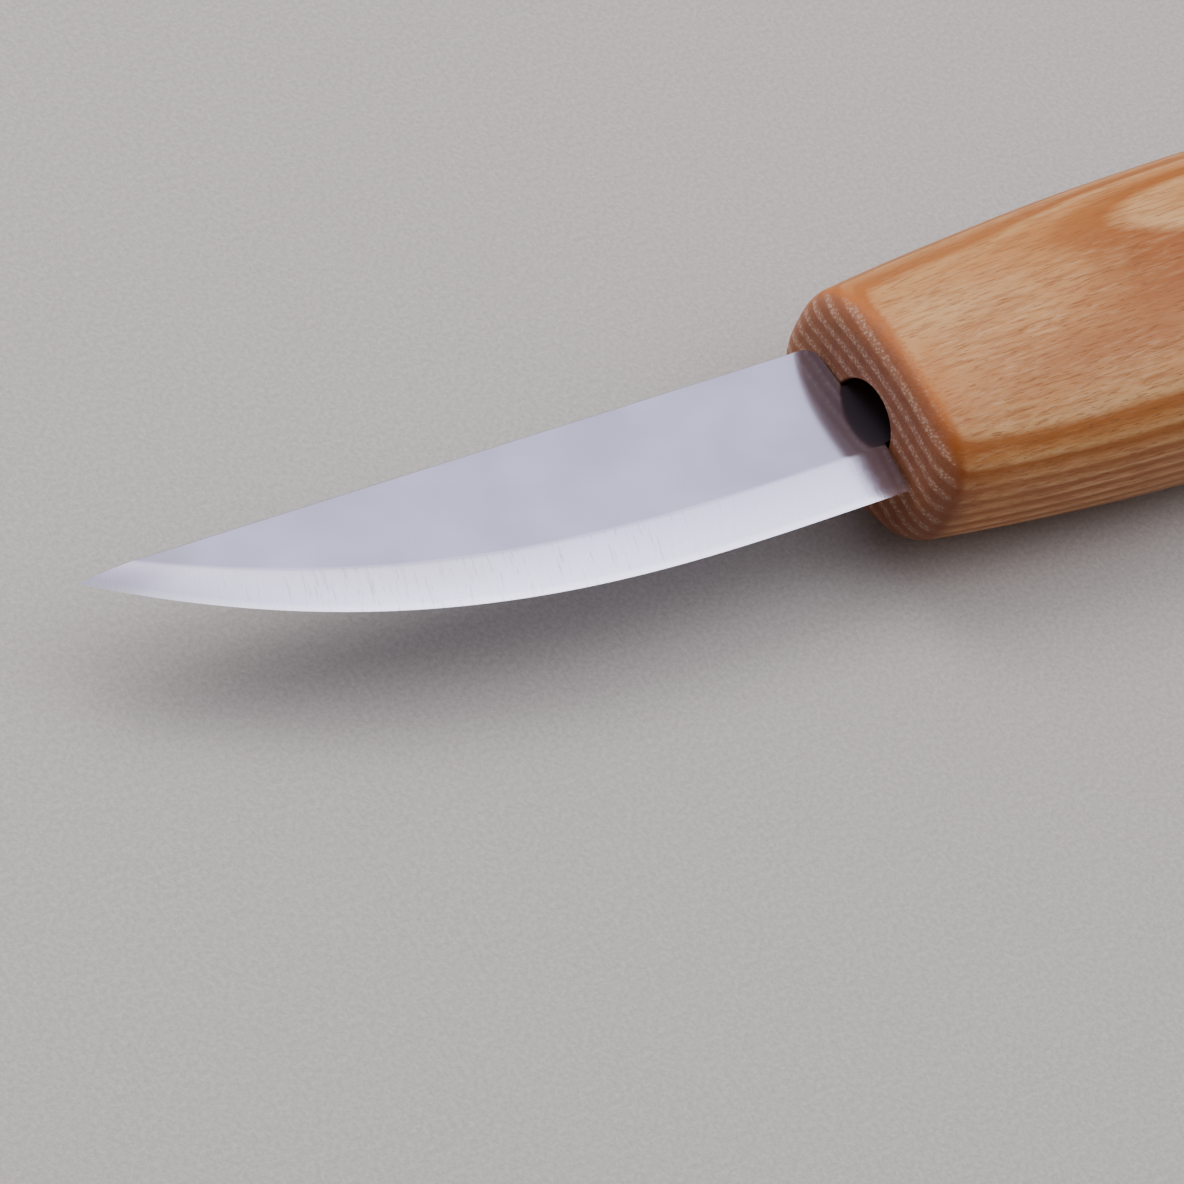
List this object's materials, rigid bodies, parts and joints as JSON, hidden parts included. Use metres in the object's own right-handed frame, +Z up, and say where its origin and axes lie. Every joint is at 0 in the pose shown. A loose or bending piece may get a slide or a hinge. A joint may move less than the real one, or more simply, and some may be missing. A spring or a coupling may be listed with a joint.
{
  "type": "whittling knife",
  "caption": "Fixed-blade whittling knife with a long, flat ground, upswept blade whose stick tang is glued into a bored, barrel-shaped ash handle.",
  "frame": {"origin": "on the table under the middle of the knife's box, the knife lying on its broad side", "axes": "+X along the handle's axis towards the butt, the blade's point towards -X; the cutting edge faces -Y and the spine +Y; +Z is up, square to the blade's flats"},
  "size_m": [0.21, 0.0312, 0.0214],
  "materials": {
    "blade_steel": "satin mirror polish on the flats, fine cross-ground bevels",
    "oiled_ash": "sanded and oiled, burnished at the front edge",
    "set_adhesive": "set two-part adhesive"
  },
  "bodies": {
    "root": {"blade": "blade_steel", "handle": "oiled_ash", "tang_adhesive": "set_adhesive"}
  },
  "joints": []
}
